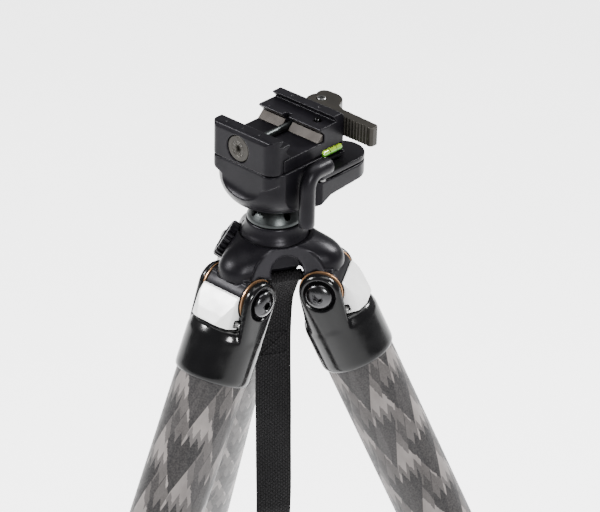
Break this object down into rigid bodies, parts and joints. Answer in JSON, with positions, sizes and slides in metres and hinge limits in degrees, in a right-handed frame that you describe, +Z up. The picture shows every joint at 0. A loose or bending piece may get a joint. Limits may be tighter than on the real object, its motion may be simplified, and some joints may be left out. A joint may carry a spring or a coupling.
{
  "type": "photographic tripod with ball head",
  "caption": "Tripod with angled telescopic legs, sprung angle tabs, a ball head with split collar and lever quick-release clamp, and a hanging webbing strap.",
  "frame": {"origin": "middle of the footprint at floor level, the centre of the box's base", "axes": "+Z up; +X along the clamp's jaws towards the bubble level; -Y towards the clamp's moving jaw and the front leg"},
  "size_m": [0.7414, 0.6468, 0.9192],
  "materials": {
    "black_anodised": "satin black anodised, faintly purple",
    "black_enamel": "deep gloss black over cast metal",
    "black_screw": "blackened bright screw steel",
    "olive_anodised": "satin olive-brown hard anodised",
    "steel": "turned steel",
    "silver": "smooth silver-white",
    "bronze": "bronze, satin",
    "carbon": "satin carbon fibre in interlocking grey patches",
    "rubber": "matt black ribbed rubber",
    "polymer": "self-lubricating polymer",
    "vial": "clear vial of bright green fluid",
    "webbing": "black woven webbing"
  },
  "bodies": {
    "hub": {"apex_hub": "black_anodised", "head_base": "black_anodised", "mounting_stud": "steel", "ball_stem": "steel", "strap_bar": "steel", "strap": "webbing"},
    "front_leg": {"front_yoke": "black_enamel", "front_pivot_bolt": "black_screw", "front_washer_a": "bronze", "front_washer_b": "bronze", "front_tab_pin": "steel", "front_upper_tube": "carbon"},
    "front_tab": {"front_angle_tab": "silver"},
    "front_upper_collar": {"front_upper_lock": "rubber"},
    "front_middle": {"front_middle_tube": "carbon"},
    "front_lower_collar": {"front_lower_lock": "rubber"},
    "front_lower": {"front_lower_tube": "carbon", "front_foot": "rubber"},
    "right_leg": {"right_yoke": "black_enamel", "right_pivot_bolt": "black_screw", "right_washer_a": "bronze", "right_washer_b": "bronze", "right_tab_pin": "steel", "right_upper_tube": "carbon"},
    "right_tab": {"right_angle_tab": "silver"},
    "right_upper_collar": {"right_upper_lock": "rubber"},
    "right_middle": {"right_middle_tube": "carbon"},
    "right_lower_collar": {"right_lower_lock": "rubber"},
    "right_lower": {"right_lower_tube": "carbon", "right_foot": "rubber"},
    "left_leg": {"left_yoke": "black_enamel", "left_pivot_bolt": "black_screw", "left_washer_a": "bronze", "left_washer_b": "bronze", "left_tab_pin": "steel", "left_upper_tube": "carbon"},
    "left_tab": {"left_angle_tab": "silver"},
    "left_upper_collar": {"left_upper_lock": "rubber"},
    "left_middle": {"left_middle_tube": "carbon"},
    "left_lower_collar": {"left_lower_lock": "rubber"},
    "left_lower": {"left_lower_tube": "carbon", "left_foot": "rubber"},
    "knob": {"apex_lock_knob": "black_anodised"},
    "ball_pan": {"ball_liner": "polymer"},
    "ball_tilt": {"pressure_cup": "bronze"},
    "head": {"head_housing": "black_anodised", "clamp_body": "black_anodised", "grip_strip_left": "bronze", "grip_strip_right": "bronze", "stop_screw": "black_screw", "level_vial": "vial", "lock_screw": "steel"},
    "lock_handle": {"lock_lever": "black_anodised"},
    "jaw": {"front_jaw": "black_anodised", "draw_rod": "steel", "rod_cap": "olive_anodised", "lever_pin": "steel"},
    "clamp_handle": {"clamp_lever": "olive_anodised"}
  },
  "joints": [
    {"name": "front_leg_hinge", "type": "hinge", "parent": "hub", "child": "front_leg", "pos_m": [0, 0.07485, 0.82932], "axis": [-1, 0, 0], "range_deg": [-16, 20]},
    {"name": "front_tab_slide", "type": "slide", "parent": "front_leg", "child": "front_tab", "axis": [0, -0.9041, 0.4274], "range_m": [0, 0.004], "stiffness_N_per_m": 300, "springref_m": -0.002},
    {"name": "front_upper_collar_twist", "type": "hinge", "parent": "front_leg", "child": "front_upper_collar", "pos_m": [0, 0.07621, 0.82867], "axis": [0, -0.4274, -0.9041], "range_deg": [0, 90]},
    {"name": "front_middle_slide", "type": "slide", "parent": "front_leg", "child": "front_middle", "axis": [0, -0.4274, -0.9041], "range_m": [-0.17, 0.14]},
    {"name": "front_lower_collar_twist", "type": "hinge", "parent": "front_middle", "child": "front_lower_collar", "pos_m": [0, 0.07621, 0.82867], "axis": [0, -0.4274, -0.9041], "range_deg": [0, 90]},
    {"name": "front_lower_slide", "type": "slide", "parent": "front_middle", "child": "front_lower", "axis": [0, -0.4274, -0.9041], "range_m": [-0.17, 0.14]},
    {"name": "right_leg_hinge", "type": "hinge", "parent": "hub", "child": "right_leg", "pos_m": [0.02399, 0.1164, 0.82932], "axis": [0.5, -0.866, 0], "range_deg": [-16, 20]},
    {"name": "right_tab_slide", "type": "slide", "parent": "right_leg", "child": "right_tab", "axis": [0.783, 0.452, 0.4274], "range_m": [0, 0.004], "stiffness_N_per_m": 300, "springref_m": -0.002},
    {"name": "right_upper_collar_twist", "type": "hinge", "parent": "right_leg", "child": "right_upper_collar", "pos_m": [0.02281, 0.11572, 0.82867], "axis": [0.3701, 0.2137, -0.9041], "range_deg": [0, 90]},
    {"name": "right_middle_slide", "type": "slide", "parent": "right_leg", "child": "right_middle", "axis": [0.3701, 0.2137, -0.9041], "range_m": [-0.17, 0.14]},
    {"name": "right_lower_collar_twist", "type": "hinge", "parent": "right_middle", "child": "right_lower_collar", "pos_m": [0.02281, 0.11572, 0.82867], "axis": [0.3701, 0.2137, -0.9041], "range_deg": [0, 90]},
    {"name": "right_lower_slide", "type": "slide", "parent": "right_middle", "child": "right_lower", "axis": [0.3701, 0.2137, -0.9041], "range_m": [-0.17, 0.14]},
    {"name": "left_leg_hinge", "type": "hinge", "parent": "hub", "child": "left_leg", "pos_m": [-0.02399, 0.1164, 0.82932], "axis": [0.5, 0.866, 0], "range_deg": [-16, 20]},
    {"name": "left_tab_slide", "type": "slide", "parent": "left_leg", "child": "left_tab", "axis": [-0.783, 0.452, 0.4274], "range_m": [0, 0.004], "stiffness_N_per_m": 300, "springref_m": -0.002},
    {"name": "left_upper_collar_twist", "type": "hinge", "parent": "left_leg", "child": "left_upper_collar", "pos_m": [-0.02281, 0.11572, 0.82867], "axis": [-0.3701, 0.2137, -0.9041], "range_deg": [0, 90]},
    {"name": "left_middle_slide", "type": "slide", "parent": "left_leg", "child": "left_middle", "axis": [-0.3701, 0.2137, -0.9041], "range_m": [-0.17, 0.14]},
    {"name": "left_lower_collar_twist", "type": "hinge", "parent": "left_middle", "child": "left_lower_collar", "pos_m": [-0.02281, 0.11572, 0.82867], "axis": [-0.3701, 0.2137, -0.9041], "range_deg": [0, 90]},
    {"name": "left_lower_slide", "type": "slide", "parent": "left_middle", "child": "left_lower", "axis": [-0.3701, 0.2137, -0.9041], "range_m": [-0.17, 0.14]},
    {"name": "knob_turn", "type": "hinge", "parent": "hub", "child": "knob", "pos_m": [-0.0194, 0.09135, 0.84391], "axis": [-0.75, -0.433, 0.5], "range_deg": [0, 180]},
    {"name": "ball_pan_turn", "type": "hinge", "parent": "hub", "child": "ball_pan", "pos_m": [0, 0.10255, 0.88452], "axis": [0, 0, 1], "continuous": true},
    {"name": "ball_tilt_sideways", "type": "hinge", "parent": "ball_pan", "child": "ball_tilt", "pos_m": [0, 0.10255, 0.88452], "axis": [0, 1, 0], "range_deg": [-12, 12]},
    {"name": "ball_tilt_forward", "type": "hinge", "parent": "ball_tilt", "child": "head", "pos_m": [0, 0.10255, 0.88452], "axis": [1, 0, 0], "range_deg": [-12, 12]},
    {"name": "lock_lever_turn", "type": "hinge", "parent": "head", "child": "lock_handle", "pos_m": [0.0272, 0.10655, 0.89951], "axis": [0, 0, 1], "range_deg": [0, 40]},
    {"name": "jaw_slide", "type": "slide", "parent": "head", "child": "jaw", "axis": [0, -1, 0], "range_m": [0, 0.0018]},
    {"name": "clamp_lever_turn", "type": "hinge", "parent": "jaw", "child": "clamp_handle", "pos_m": [-0.0025, 0.13885, 0.90912], "axis": [0, 0, 1], "range_deg": [0, 60]}
  ],
  "couplings": [
    {"joint": "jaw_slide", "follows": "clamp_lever_turn", "m_per_rad": 0.0015626}
  ]
}
